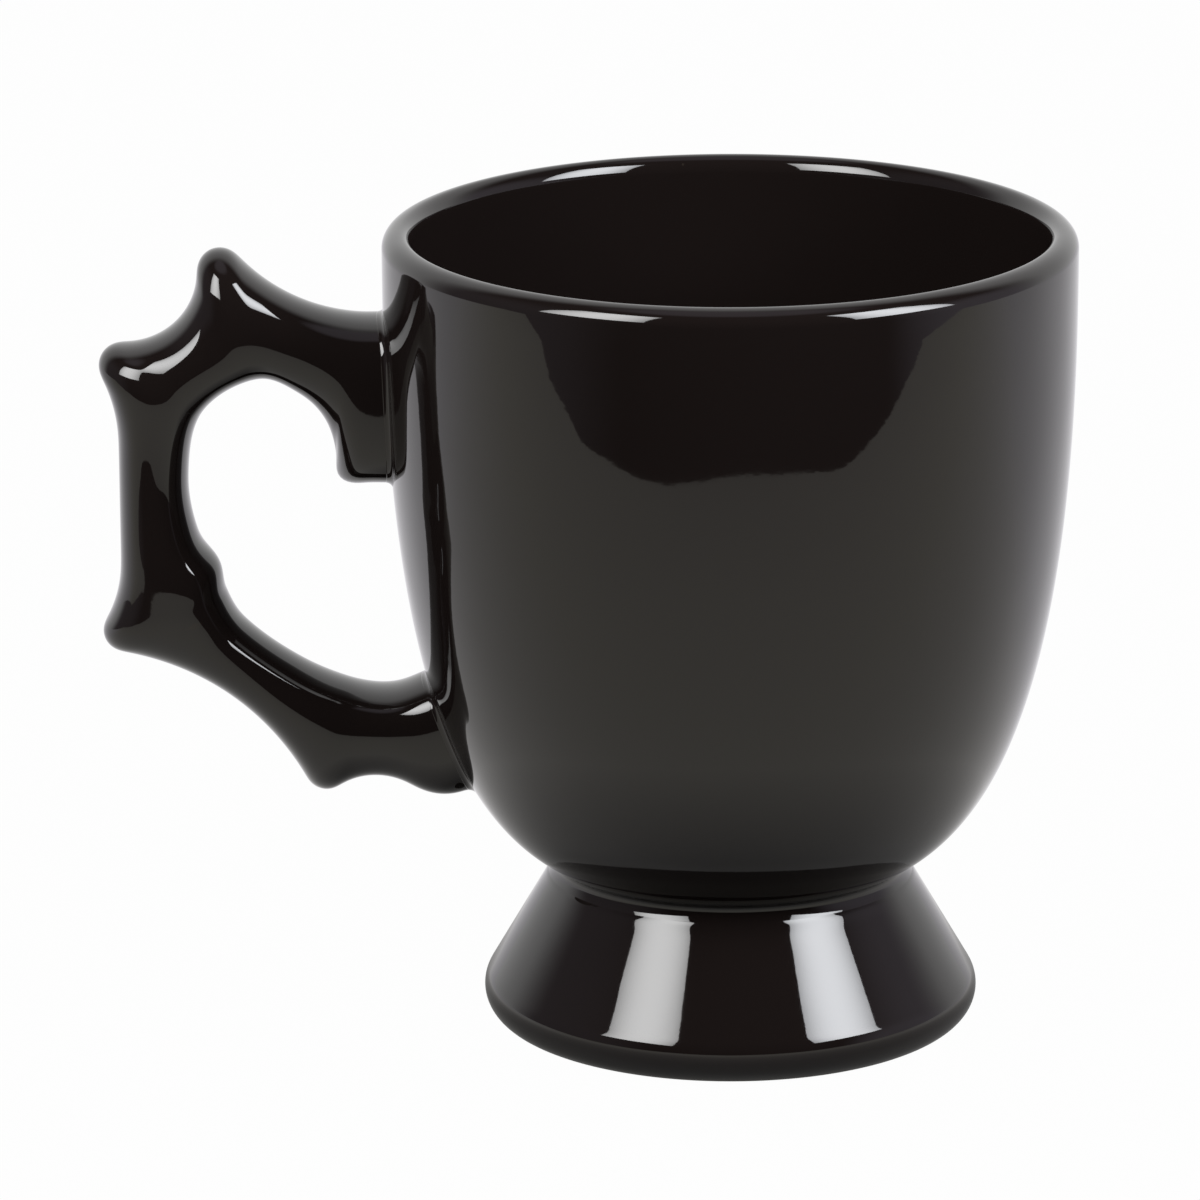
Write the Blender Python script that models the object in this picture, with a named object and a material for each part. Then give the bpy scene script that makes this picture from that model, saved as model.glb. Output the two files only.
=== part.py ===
"""Black glazed goblet mug with a spiked handle.

A turned bowl, a flared pedestal foot and a cast handle, luted together with slip and glazed.
Metres, +Z up. The mug stands on z = 0, and the handle points along -X in the plane y = 0.
"""

import math

import bmesh
import bpy
import numpy as np
from mathutils import Vector, geometry

# Bowl: both sides of the wall are superellipses, full at the side and nearly flat below
RIM_RADIUS = 0.0487
BOWL_DEPTH = 0.0922
SIDE_POWER = 2.44
FLOOR_POWER = 3.83
WALL = 0.0037
FLOOR = 0.0060
# Lip: a broad roll to the outside and a tighter one to the inside, meeting at its crest
LIP_RISE = 0.0024
LIP_ROLL = 0.0025
LIP_EASE = 0.0015

# Foot: a hollow skirt with a rolled edge, standing on a narrow flat ring
FOOT_HEIGHT = 0.0204
REST_RADIUS = 0.0307
REST_WIDTH = 0.0035
REST_CHAMFER = 0.0006
FOOT_ROLL = 0.0044
SKIRT_LEAN = math.radians(30.2)
SKIRT_WALL = 0.0045
SHOULDER_ROUND = 0.0010

# Joints: a layer of slip, standing a little proud of the pieces that it joins
SLIP = 0.0006
SLIP_PROUD = 0.0005
GAP = 0.0003
SEAT = SLIP + 2 * GAP

# Handle: its height between the roots, and how far these keep from the rim and the bowl's bottom
HANDLE_DRAWN = 0.0702
ROOT_DROP = 0.01215
ROOT_RISE = 0.01225
HANDLE_THICKNESS = 0.0138
PLUMPNESS = 1.25
FLATNESS = 4.0

# Rounded spike tips: out from the rim's side, up from the lower root, and radius
CROWN_SPIKE = (0.0227, 0.0766, 0.0032)
BROW_SPIKE = (0.0369, 0.0631, 0.0030)
HEEL_SPIKE = (0.0373, 0.0245, 0.0027)
KEEL_SPIKE = (0.0087, 0.0042, 0.0031)
# The swelling under the lower root: out from the wall, up from the lower root, radius, turn past its bottom
ROOT_SWELL = (0.0007, 0.0085, 0.0081)
ROOT_TURN = math.radians(24)
# Scallops between the tips, by radius, and the straight back of the grip
CROWN_SCALLOP = 0.0105
BROW_SCALLOP = 0.0220
HEEL_SCALLOP = 0.0180
BELLY_SCALLOP = 0.0365
KEEL_SCALLOP = 0.0092
GRIP_BACK = 0.0373
UPPER_ROOT_OUT = 0.0003

# Finger hole: points out from the rim's side and up from the lower root, in stretches that face each spike
UPPER_ROOT_LOW = 0.0462
LOWER_ROOT_HIGH = 0.0178
THUMB_HOOK = [(0.0019, 0.0462), (0.0048, 0.0460), (0.0066, 0.0469), (0.0065, 0.0510), (0.0088, 0.0576)]
ARCH_TOP = (0.0173, 0.0613)
ARCH_BACK = (0.0252, 0.0566)
GRIP_FRONT = [(0.0275, 0.0471), (0.0261, 0.0382), (0.0233, 0.0343)]
KNUCKLE = (0.0224, 0.0302)
FINGER_REST = [(0.0198, 0.0257), (0.0116, 0.0197)]
REST_LOW = (0.0043, 0.0166)
REST_END = [(-0.0007, 0.0160)]

# Facets
ROUND_STEPS = 64
BOWL_STEPS = 14
LIP_STEPS = 4
ROLL_STEPS = 7
SEAT_STEPS = 4
SHOULDER_STEPS = 3
ARC_POINTS = 24
SPAN_ROWS = (26, 12, 16, 16, 14)
# Rows crowd towards the tips, and those over the thumb hook stay back near the root
TIP_CROWDING = 0.65
HOOK_LAG = 4.0
ACROSS = 10
CAP_STEPS = 4

LIP_HEIGHT = FOOT_HEIGHT + BOWL_DEPTH
HANDLE_LOW = FOOT_HEIGHT + ROOT_RISE
HANDLE_STRETCH = (LIP_HEIGHT + LIP_RISE - ROOT_DROP - HANDLE_LOW) / HANDLE_DRAWN

GLAZE_BLACK = (0.0080, 0.0070, 0.0062, 1.0)
SLIP_BLACK = (0.0095, 0.0085, 0.0078, 1.0)
GLAZE_ROUGHNESS = 0.05
SLIP_ROUGHNESS = 0.10


def clear_scene():
    for old in list(bpy.data.objects):
        bpy.data.objects.remove(old, do_unlink=True)


def add_glaze(mesh, colour, roughness):
    """The mesh's own glaze."""
    material = bpy.data.materials.new(mesh.name + "_glaze")
    material.use_nodes = True
    shader = material.node_tree.nodes["Principled BSDF"]
    shader.inputs["Base Color"].default_value = colour
    shader.inputs["Roughness"].default_value = roughness
    shader.inputs["Metallic"].default_value = 0.0
    mesh.materials.append(material)


def add_piece(name, mesh, parent):
    if name.endswith("slip_joint"):
        add_glaze(mesh, SLIP_BLACK, SLIP_ROUGHNESS)
    else:
        add_glaze(mesh, GLAZE_BLACK, GLAZE_ROUGHNESS)
    mesh.shade_smooth()
    piece = bpy.data.objects.new(name, mesh)
    piece.parent = parent
    bpy.context.scene.collection.objects.link(piece)
    return piece


def turned(name, profile, closed, parent):
    """A piece turned round the mug's axis from (radius, height) points that run down its outer side."""
    count = len(profile)
    edges = [(i, i + 1) for i in range(count - 1)]
    if closed:
        edges.append((count - 1, 0))
    mesh = bpy.data.meshes.new(name)
    mesh.from_pydata([(r, 0.0, z) for r, z in profile], edges, [])
    piece = add_piece(name, mesh, parent)
    screw = piece.modifiers.new("Turn", "SCREW")
    screw.steps = ROUND_STEPS
    screw.render_steps = ROUND_STEPS
    screw.use_merge_vertices = True
    screw.merge_threshold = 0.00001
    screw.use_smooth_shade = True
    return piece


def bowl_radius(height):
    """Outside radius of the bowl at a height above the table."""
    down = np.clip((LIP_HEIGHT - height) / BOWL_DEPTH, 0.0, 1.0)
    return RIM_RADIUS * (1 - down**SIDE_POWER) ** (1 / FLOOR_POWER)


def bowl_height(radius):
    """Height of the bowl's outside at a radius."""
    level = (1 - (radius / RIM_RADIUS) ** FLOOR_POWER) ** (1 / SIDE_POWER)
    return LIP_HEIGHT - BOWL_DEPTH * level


def bowl_side(radius, depth):
    """(radius, height) points up one side of the bowl's wall, from its middle to the lip."""
    turn = np.linspace(0, math.pi / 2, BOWL_STEPS + 1)
    out = radius * np.sin(turn) ** (2 / FLOOR_POWER)
    up = LIP_HEIGHT - depth * np.abs(np.cos(turn)) ** (2 / SIDE_POWER)
    return list(zip(out, up))


def make_bowl(parent):
    inside = bowl_side(RIM_RADIUS - WALL, BOWL_DEPTH - FLOOR)
    outside = bowl_side(RIM_RADIUS, BOWL_DEPTH)
    crest, top = RIM_RADIUS - LIP_ROLL, LIP_HEIGHT + LIP_RISE
    turns = np.linspace(0, math.pi / 2, LIP_STEPS, endpoint=False)
    eased = [(crest - (WALL - LIP_ROLL) * math.cos(a), top - LIP_EASE * (1 - math.sin(a))) for a in turns]
    rolled = [(crest + LIP_ROLL * math.sin(a), LIP_HEIGHT + LIP_RISE * math.cos(a)) for a in turns]
    return turned("bowl", inside + eased + rolled + outside[::-1], False, parent)


def skirt_height(radius, inset=0.0):
    """Height of the skirt's side at a radius, on its outside or inset into its wall."""
    start = REST_RADIUS + FOOT_ROLL * math.cos(SKIRT_LEAN) - inset / math.cos(SKIRT_LEAN)
    base = FOOT_ROLL * (1 + math.sin(SKIRT_LEAN))
    return base + (start - radius) / math.tan(SKIRT_LEAN)


def seat_height(radius):
    """Height of the foot's top face, which lies along the underside of the bowl."""
    return bowl_height(radius) - SEAT


def seat_edge(inset):
    """Radius where the skirt's side meets the seat."""
    low, high = 0.0, RIM_RADIUS
    for _ in range(50):
        radius = (low + high) / 2
        if skirt_height(radius, inset) > seat_height(radius):
            low = radius
        else:
            high = radius
    return low


def foot_shoulder():
    """Points round the foot's top edge, from the seat to the skirt's side."""
    outer = seat_edge(0.0)
    corner = np.array([outer, seat_height(outer)])
    inward, outward = outer - SHOULDER_ROUND, outer + SHOULDER_ROUND
    rims = np.array([(inward, seat_height(inward)), (outward, skirt_height(outward))])
    seat_way, side_way = (way / np.linalg.norm(way) for way in rims - corner)
    half_angle = math.acos(seat_way @ side_way) / 2
    bisector = (seat_way + side_way) / np.linalg.norm(seat_way + side_way)
    centre = corner + bisector * SHOULDER_ROUND / math.sin(half_angle)
    cut_back = SHOULDER_ROUND / math.tan(half_angle)
    ends = (corner + seat_way * cut_back, corner + side_way * cut_back)
    return arc(centre, SHOULDER_ROUND, *ends, -1, SHOULDER_STEPS + 1)


def make_foot(parent):
    shoulder = foot_shoulder()
    radii = np.linspace(seat_edge(SKIRT_WALL), shoulder[0][0], SEAT_STEPS, endpoint=False)
    seat = [(r, seat_height(r)) for r in radii]
    bearings = np.linspace(SKIRT_LEAN, -math.pi / 2, ROLL_STEPS + 1)
    roll = [(REST_RADIUS + FOOT_ROLL * math.cos(a), FOOT_ROLL * (1 + math.sin(a))) for a in bearings]
    hollow = REST_RADIUS - REST_WIDTH
    rest = [(hollow + REST_CHAMFER, 0.0), (hollow, REST_CHAMFER), (hollow, skirt_height(hollow, SKIRT_WALL))]
    return turned("pedestal_foot", seat + list(shoulder) + roll + rest, True, parent)


def make_foot_slip(parent):
    """The ring of slip between bowl and foot, with a hollowed bead round the waist."""
    inner, shelf, proud = seat_edge(SKIRT_WALL), foot_shoulder()[0][0], seat_edge(0.0) + SLIP_PROUD
    top = [(r, bowl_height(r) - GAP) for r in np.linspace(inner, proud, SEAT_STEPS + 1)]
    bottom = [(r, seat_height(r) + GAP) for r in np.linspace(shelf, inner, SEAT_STEPS + 1)]
    hollowed = (shelf + (proud - shelf) / 3, top[-1][1] / 2 + bottom[0][1] / 2)
    return turned("foot_slip_joint", top + [hollowed] + bottom, True, parent)


def root_place(height):
    """Place in the handle's plane where an outline ends, clear of the bowl's wall by the layer of slip."""
    return np.array([-bowl_radius(height) - SEAT, height])


def on_plane(out, up):
    """Place in the handle's plane, drawn as a distance off the rim's side and a height over the lower root."""
    return np.array([-RIM_RADIUS - out, HANDLE_LOW + up * HANDLE_STRETCH])


def arc(centre, radius, start, end, turn, count=ARC_POINTS):
    """Points on a circle from the bearing of one point to that of another. A turn of 1 is anticlockwise."""
    first = math.atan2(*(start - centre)[::-1])
    last = math.atan2(*(end - centre)[::-1])
    sweep = turn * ((turn * (last - first)) % math.tau)
    bearings = first + sweep * np.linspace(0, 1, count)
    return centre + radius * np.stack([np.cos(bearings), np.sin(bearings)], axis=1)


def scallop_centre(tip, next_tip, radius):
    """Centre of the hollow arc that touches two tips from outside the handle."""
    (near, near_radius), (far, far_radius) = tip, next_tip
    reach, far_reach = radius + near_radius, radius + far_radius
    line = far - near
    length = np.linalg.norm(line)
    along = (reach**2 - far_reach**2 + length**2) / (2 * length)
    off = math.sqrt(reach**2 - along**2)
    ahead = line / length
    return near + along * ahead + off * np.array([ahead[1], -ahead[0]])


def back_centre(tip, radius, side):
    """Centre of the arc that leads from a tip into the straight back of the grip. side is 1 above the tip."""
    centre, tip_radius = tip
    x = on_plane(GRIP_BACK, 0.0)[0] - radius
    rise = math.sqrt((radius + tip_radius) ** 2 - (x - centre[0]) ** 2)
    return np.array([x, centre[1] + side * rise])


def outer_outline():
    """The scalloped outside of the handle, from the upper root to the lower, in stretches from tip to tip."""
    spikes = (CROWN_SPIKE, BROW_SPIKE, HEEL_SPIKE, KEEL_SPIKE)
    tips = [(on_plane(out, up), radius) for out, up, radius in spikes]
    crown, brow, heel, keel = tips
    swell_out, swell_up, swell_radius = ROOT_SWELL
    swell = on_plane(0.0, swell_up)
    swell[0] = -bowl_radius(swell[1]) - swell_out
    upper_end = root_place(on_plane(0.0, HANDLE_DRAWN)[1])
    root = upper_end - np.array([UPPER_ROOT_OUT, 0.0])
    span = crown[0] - root
    shoulder = (span @ span - crown[1] ** 2) / (2 * (span[1] + crown[1]))
    neck = root + np.array([0.0, shoulder])
    dip = scallop_centre(crown, brow, CROWN_SCALLOP)
    back_top = back_centre(brow, BROW_SCALLOP, -1)
    back_low = back_centre(heel, HEEL_SCALLOP, 1)
    belly = scallop_centre(heel, keel, BELLY_SCALLOP)
    under = scallop_centre(keel, (swell, swell_radius), KEEL_SCALLOP)
    bottom = swell + np.array([math.sin(ROOT_TURN), -math.cos(ROOT_TURN)])
    across = np.array([1.0, 0.0])
    crown_arc = arc(*crown, neck, dip, 1)
    brow_arc = arc(*brow, dip, back_top, 1)
    heel_arc = arc(*heel, back_low, belly, 1)
    keel_arc = arc(*keel, belly, under, 1)
    half = ARC_POINTS // 2
    swell_arc = arc(swell, swell_radius, under, bottom, 1)
    lower_end = root_place(swell_arc[-1][1])
    return [
        [[upper_end], arc(neck, shoulder, root, crown[0], -1), crown_arc[:half]],
        [crown_arc[half - 1 :], arc(dip, CROWN_SCALLOP, crown[0], brow[0], -1), brow_arc[:half]],
        [
            brow_arc[half - 1 :],
            arc(back_top, BROW_SCALLOP, brow[0], back_top + across, -1),
            arc(back_low, HEEL_SCALLOP, back_low + across, heel[0], -1),
            heel_arc[:half],
        ],
        [heel_arc[half - 1 :], arc(belly, BELLY_SCALLOP, heel[0], keel[0], -1), keel_arc[:half]],
        [keel_arc[half - 1 :], arc(under, KEEL_SCALLOP, keel[0], swell, -1), swell_arc, [lower_end]],
    ]


def inner_outline():
    """The edge of the finger hole, from the upper root to the lower, in stretches that face the outer ones."""
    drawn = THUMB_HOOK + [ARCH_TOP, ARCH_BACK] + GRIP_FRONT + [KNUCKLE] + FINGER_REST + [REST_LOW] + REST_END
    knots = [on_plane(*point) for point in drawn]
    for height, place in ((UPPER_ROOT_LOW, 0), (LOWER_ROOT_HIGH, len(knots) + 1)):
        knots.insert(place, root_place(on_plane(0.0, height)[1]))
    cuts = [0]
    for facing in (ARCH_TOP, ARCH_BACK, KNUCKLE, REST_LOW):
        cuts.append(next(i for i, knot in enumerate(knots) if np.allclose(knot, on_plane(*facing))))
    cuts.append(len(knots) - 1)
    spans = [smooth_span(knots, i) for i in range(len(knots) - 1)]
    return [spans[start:end] for start, end in zip(cuts, cuts[1:])]


def smooth_span(knots, i):
    """Points from one knot to the next on a smooth curve through all of them."""
    before, start, end, after = (knots[k] for k in (max(i - 1, 0), i, i + 1, min(i + 2, len(knots) - 1)))
    length = np.linalg.norm(end - start)
    lead = (end - before) / np.linalg.norm(end - before) * length / 3
    trail = (after - start) / np.linalg.norm(after - start) * length / 3
    handles = (start, start + lead, end - trail, end)
    return np.array([p[:] for p in geometry.interpolate_bezier(*map(Vector, handles), ARC_POINTS)])


def spaced_points(pieces, count, lag):
    """Points along joined pieces of an outline. A lag over 1 keeps them back near its start."""
    line = np.concatenate(pieces)
    run = np.concatenate([[0.0], np.cumsum(np.linalg.norm(np.diff(line, axis=0), axis=1))])
    share = np.linspace(0, 1, count + 1)
    share -= TIP_CROWDING * np.sin(math.tau * share) / math.tau
    steps = run[-1] * share * (1 + (lag - 1) * share) / lag
    return np.stack([np.interp(steps, run, line[:, axis]) for axis in (0, 1)], axis=1)


def joined_spans(stretches, first_lag):
    """Points along a whole outline, with the same count in each stretch as on the facing outline."""
    lags = [first_lag] + [1.0] * (len(stretches) - 1)
    rows = [spaced_points(*stretch) for stretch in zip(stretches, SPAN_ROWS, lags)]
    return np.concatenate([rows[0]] + [row[1:] for row in rows[1:]])


def handle_grid():
    """Places over the handle's outline: rows from root to root, columns from the hole to the outside."""
    inner, outer = joined_spans(inner_outline(), 1.0), joined_spans(outer_outline(), HOOK_LAG)
    across = (1 - np.cos(np.linspace(0, math.pi, ACROSS + 1))) / 2
    return inner[:, None] + (outer - inner)[:, None] * across[None, :, None]


def blown_film(grid):
    """Height of a film blown up over the grid, held down along both outlines and free at the roots."""
    rows, columns = grid.shape[:2]
    index = np.arange(rows * columns).reshape(rows, columns)
    a, b, c, d = index[:-1, :-1], index[:-1, 1:], index[1:, 1:], index[1:, :-1]
    halves = ((a, b, c), (a, c, d), (b, c, d), (a, b, d))
    faces = np.concatenate([np.stack(corners, axis=-1).reshape(-1, 3) for corners in halves])
    corners = grid.reshape(-1, 2)[faces]
    edges = np.roll(corners, -2, axis=1) - np.roll(corners, -1, axis=1)
    area = np.abs(edges[:, 0, 0] * edges[:, 1, 1] - edges[:, 0, 1] * edges[:, 1, 0]) / 2
    stiffness = np.zeros((index.size, index.size))
    pull = np.einsum("fia,fja->fij", edges, edges) / (4 * area)[:, None, None]
    np.add.at(stiffness, (faces[:, :, None], faces[:, None, :]), pull)
    ties = np.maximum(-stiffness, 0.0)
    stiffness = np.diag(ties.sum(axis=1)) - ties
    load = np.zeros(index.size)
    np.add.at(load, faces, (area / 3)[:, None])
    free = index[:, 1:-1].ravel()
    film = np.zeros(index.size)
    film[free] = np.linalg.solve(stiffness[np.ix_(free, free)], load[free])
    return film.reshape(rows, columns)


def half_thickness(grid):
    """Half the handle's thickness: round in section where it is narrow, and levelled off where it is wide."""
    swell = PLUMPNESS * np.sqrt(2 * blown_film(grid))
    most = HANDLE_THICKNESS / 2
    return swell * most / (swell**FLATNESS + most**FLATNESS) ** (1 / FLATNESS)


def on_wall(heights, halves, clearance):
    """A patch over the bowl's wall, given its half width at each height: a grid of points off the wall."""
    side = np.sin(np.linspace(-math.pi / 2, math.pi / 2, CAP_STEPS + 1))
    y = halves[:, None] * side[None]
    z = np.repeat(heights[:, None], CAP_STEPS + 1, axis=1)
    x = -np.sqrt((bowl_radius(z) + clearance) ** 2 - y**2)
    return np.stack([x, y, z], axis=2)


def sheet_faces(bm, points):
    """Faces over a grid of points."""
    rows = [[bm.verts.new(point) for point in row] for row in points]
    for row, below in zip(rows, rows[1:]):
        for i in range(len(row) - 1):
            bm.faces.new((row[i], row[i + 1], below[i + 1], below[i]))


def closed_mesh(name, sheets):
    """One closed body from sheets that meet along their edges."""
    bm = bmesh.new()
    for points in sheets:
        sheet_faces(bm, points)
    bmesh.ops.remove_doubles(bm, verts=bm.verts, dist=0.000001)
    bmesh.ops.recalc_face_normals(bm, faces=bm.faces)
    mesh = bpy.data.meshes.new(name)
    bm.to_mesh(mesh)
    bm.free()
    return mesh


def make_handle(grid, halves, parent):
    ends = [on_wall(grid[row, :, 1], halves[row], SEAT) for row in (0, -1)]
    sides = []
    for facing in (-1, 1):
        side = np.stack([grid[..., 0], facing * halves, grid[..., 1]], axis=2)
        for row, end in zip((0, -1), ends):
            side[row] = end[:, 0 if facing < 0 else -1]
        sides.append(side)
    return add_piece("handle", closed_mesh("handle", sides + ends), parent)


def make_handle_slip(name, grid, halves, row, parent):
    """The pad of slip between one end of the handle and the wall, standing proud all round."""
    heights, widths = grid[row, :, 1], halves[row]
    middle = heights.mean()
    reach = np.abs(heights - middle).max()
    heights = middle + (heights - middle) * (reach + SLIP_PROUD) / reach
    widths = widths * (widths.max() + SLIP_PROUD) / widths.max()
    back, front = (on_wall(heights, widths, off) for off in (GAP, GAP + SLIP))
    edges = [np.stack([back[:, side], front[:, side]], axis=1) for side in (0, -1)]
    return add_piece(name, closed_mesh(name, [back, front] + edges), parent)


def main():
    clear_scene()
    grid = handle_grid()
    halves = half_thickness(grid)
    reach = -grid[..., 0].min()
    mug = bpy.data.objects.new("mug", None)
    mug.location = ((reach - RIM_RADIUS) / 2, 0.0, 0.0)
    bpy.context.scene.collection.objects.link(mug)
    make_bowl(mug)
    make_foot(mug)
    make_foot_slip(mug)
    make_handle(grid, halves, mug)
    make_handle_slip("upper_handle_slip_joint", grid, halves, 0, mug)
    make_handle_slip("lower_handle_slip_joint", grid, halves, -1, mug)
    bpy.context.view_layer.update()


main()
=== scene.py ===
"""Black glazed goblet mug with a spiked handle, on a white sheet under two softboxes."""

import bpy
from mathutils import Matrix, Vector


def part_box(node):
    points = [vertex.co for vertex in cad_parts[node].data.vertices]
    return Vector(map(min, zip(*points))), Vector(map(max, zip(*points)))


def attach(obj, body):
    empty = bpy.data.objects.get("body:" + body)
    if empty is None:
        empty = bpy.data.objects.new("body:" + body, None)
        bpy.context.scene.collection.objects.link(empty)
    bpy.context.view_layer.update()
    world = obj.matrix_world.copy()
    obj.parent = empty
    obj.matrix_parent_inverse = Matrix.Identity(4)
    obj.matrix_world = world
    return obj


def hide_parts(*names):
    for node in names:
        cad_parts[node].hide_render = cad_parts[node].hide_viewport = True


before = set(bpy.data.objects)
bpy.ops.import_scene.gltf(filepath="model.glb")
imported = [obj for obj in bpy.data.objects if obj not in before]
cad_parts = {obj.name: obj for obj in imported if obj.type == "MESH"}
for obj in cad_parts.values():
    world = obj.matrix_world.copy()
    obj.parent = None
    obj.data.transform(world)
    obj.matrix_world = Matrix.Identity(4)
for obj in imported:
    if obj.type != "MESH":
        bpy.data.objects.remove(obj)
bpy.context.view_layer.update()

import math

import bmesh
import bpy
import numpy as np
from bpy.props import FloatProperty, FloatVectorProperty, IntProperty, PointerProperty
from mathutils import Matrix, Vector, geometry

bl_info = {
    "name": "Spiked goblet mug",
    "version": (1, 0, 0),
    "blender": (4, 5, 0),
    "location": "View3D > Sidebar > Mug",
    "description": "Builds the glazed surfaces of a footed mug with a spiked handle, and a plain studio",
    "category": "Mesh",
}

BODY = "root"

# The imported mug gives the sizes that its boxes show
BOWL_LOW, BOWL_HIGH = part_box("bowl")
AXIS_X = (BOWL_LOW[0] + BOWL_HIGH[0]) / 2
RIM_RADIUS = (BOWL_HIGH[1] - BOWL_LOW[1]) / 2
LIP_RISE = 0.0024
BOWL_DEPTH = BOWL_HIGH[2] - LIP_RISE - BOWL_LOW[2]

# Handle's height between the roots, and how far these keep from the rim and the bowl's bottom
HANDLE_DRAWN = 0.0702
ROOT_DROP = 0.01215
ROOT_RISE = 0.01225

# Rounded spike tips: out from the rim's side, up from the lower root, and radius
CROWN_SPIKE = (0.0227, 0.0766, 0.0032)
BROW_SPIKE = (0.0369, 0.0631, 0.0030)
HEEL_SPIKE = (0.0373, 0.0245, 0.0027)
KEEL_SPIKE = (0.0087, 0.0042, 0.0031)
# The swelling under the lower root: out from the wall, up from the lower root, radius, turn past its bottom
ROOT_SWELL = (0.0007, 0.0085, 0.0081)
ROOT_TURN = math.radians(24)
# Scallops between the tips, by radius, and the straight back of the grip
CROWN_SCALLOP = 0.0105
BROW_SCALLOP = 0.0220
HEEL_SCALLOP = 0.0180
BELLY_SCALLOP = 0.0365
KEEL_SCALLOP = 0.0092
GRIP_BACK = 0.0373
UPPER_ROOT_OUT = 0.0003

# Finger hole: points out from the rim's side and up from the lower root, in stretches that face each spike
UPPER_ROOT_LOW = 0.0462
LOWER_ROOT_HIGH = 0.0178
THUMB_HOOK = [
    (0.0019, 0.0462), (0.0048, 0.0460), (0.0066, 0.0469), (0.0067, 0.0505), (0.0081, 0.0553), (0.0112, 0.0588)
]
ARCH_TOP = (0.0173, 0.0613)
ARCH_BACK = (0.0252, 0.0566)
GRIP_FRONT = [(0.0275, 0.0471), (0.0261, 0.0382), (0.0233, 0.0343)]
KNUCKLE = (0.0224, 0.0302)
FINGER_REST = [(0.0198, 0.0257), (0.0116, 0.0197)]
REST_LOW = (0.0043, 0.0166)
REST_END = [(-0.0007, 0.0160)]

# How finely the surfaces are drawn
ARC_POINTS = 24
BOWL_POINTS = 90
LIP_POINTS = 16
ROLL_POINTS = 24
SEAT_POINTS = 8
SIDE_POINTS = 40
SPAN_ROWS = (30, 24, 30, 30, 26)
TIP_CROWDING = 0.65
HOOK_LAG = 4.0
ACROSS = 18
BEAD_POINTS = 8
EDGE_POINTS = 121

# How far a surface runs on inside its neighbour, so that no joint shows a slit, and how near points are welded
EMBED = 0.0003
ROOT_EMBED = 0.0010
TURNED_WELD = 0.000002
CAST_WELD = 0.000001

# Collar under the foot's top edge: its crest below the edge, and how far it spreads
COLLAR_DROP = 0.0004
COLLAR_SPREAD = 0.0010

# Glaze: spacing and depth of its slow waves and of its peel, and how far up from the table the foot is left bare
GLAZE_IOR = 1.45
FLOW_SPACING, FLOW_DEPTH = 0.016, 0.00011
PEEL_SPACING, PEEL_DEPTH = 0.002, 0.000003
RING_HEIGHT = 0.0006
CLAY_ROUGHNESS = 0.8
# Specks: size of a cell, full and faded radius as shares of it, and the share of cells that stay clean
SPECK_CELL, SPECK_FULL, SPECK_FADED, SPECK_CLEAN = 0.007, 0.016, 0.028, 0.55
# Sharpness of an edge where the glaze starts to thin and where it is thinnest, and how far it turns brown there
THIN_FROM, THIN_TO, THIN_MOST = 0.52, 0.60, 0.7

# Paper sheet: its half width, how far it runs on behind the mug, and a hair's drop under the resting ring
SHEET_SIDE = 0.9
SHEET_BACK = 1.6
SHEET_DROP = 0.0001
# Its front edge: a bow in the middle, a few waves on the left, a slant, and a sweep away from the camera at the sides
BOW_DEPTH, BOW_WIDTH = 0.066, 0.14
WAVE_DEPTH, WAVE_LENGTH, WAVE_PLACE, WAVE_SPREAD = 0.008, 0.022, -0.28, 0.08
EDGE_SLANT = 0.025
SWEEP_DEPTH, SWEEP_REACH, SWEEP_LEFT = 0.030, 0.38, -0.88
# Its tooth, its grey under the lamps, and how white it shows to the camera
PAPER_TOOTH = 0.003
PAPER_GREY = (0.11, 0.13)
PAPER_WHITE = 0.985
# How bright the glaze sees it at the front edge, where a painted falloff of light dims it, and close to the mug, where
# a painted shadow dims it, between these distances from the axis
PAINTED_FALLOFF_SHARE, FULL_DEPTH = 0.46, 0.06
PAINTED_SHADOW_SHARE, PAINTED_SHADOW_FROM, PAINTED_SHADOW_TO = 0.16, 0.040, 0.085
# Painted reflection tint: its colour cast in the glaze, warm in front of the mug and cool behind it, and the depth over
# which that changes
WARM_PAINTED_REFLECTION, COOL_PAINTED_REFLECTION, CAST_DEPTH = "#fffdf0", "#fdfbff", 0.1

# Softboxes: name, degrees from the camera's side of the mug, and colour, then their size and place
SOFTBOXES = (("left", -46.0, "#ffffff"), ("right", 56.8, "#f9fbff"))
SOFTBOX_WIDTH, SOFTBOX_HEIGHT = 0.395, 0.60
SOFTBOX_AWAY, SOFTBOX_RISE = 0.60, 0.50
# Their cloth: stretch of its fade across and up, how late it sets in, and how much is lost at the sides
CLOTH_STRETCH = (2.0, 0.9, 0.0)
CLOTH_BEND = 2.2
CLOTH_LOSS = 0.52

# Room: its dark front, then the axis that each wall faces, where it starts and is full along it, and its colour
ROOM_FRONT = "#161414"
ROOM_WALLS = (
    ("X", -0.55, -0.95, "#777278"),
    ("X", 0.75, 0.98, "#b9b4c0"),
    ("Z", 0.90, 0.98, "#b4aeb8"),
    ("Y", 0.2, 0.6, "#ffffff"),
)
BACKGROUND = "#fefefe"


def linear(hex_colour):
    """Linear colour of an sRGB hex value."""
    parts = [int(hex_colour[i : i + 2], 16) / 255 for i in (1, 3, 5)]
    return tuple(p / 12.92 if p <= 0.04045 else ((p + 0.055) / 1.055) ** 2.4 for p in parts)


def opaque(hex_colour):
    """Linear colour with full alpha, for a colour socket."""
    return (*linear(hex_colour), 1.0)


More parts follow.
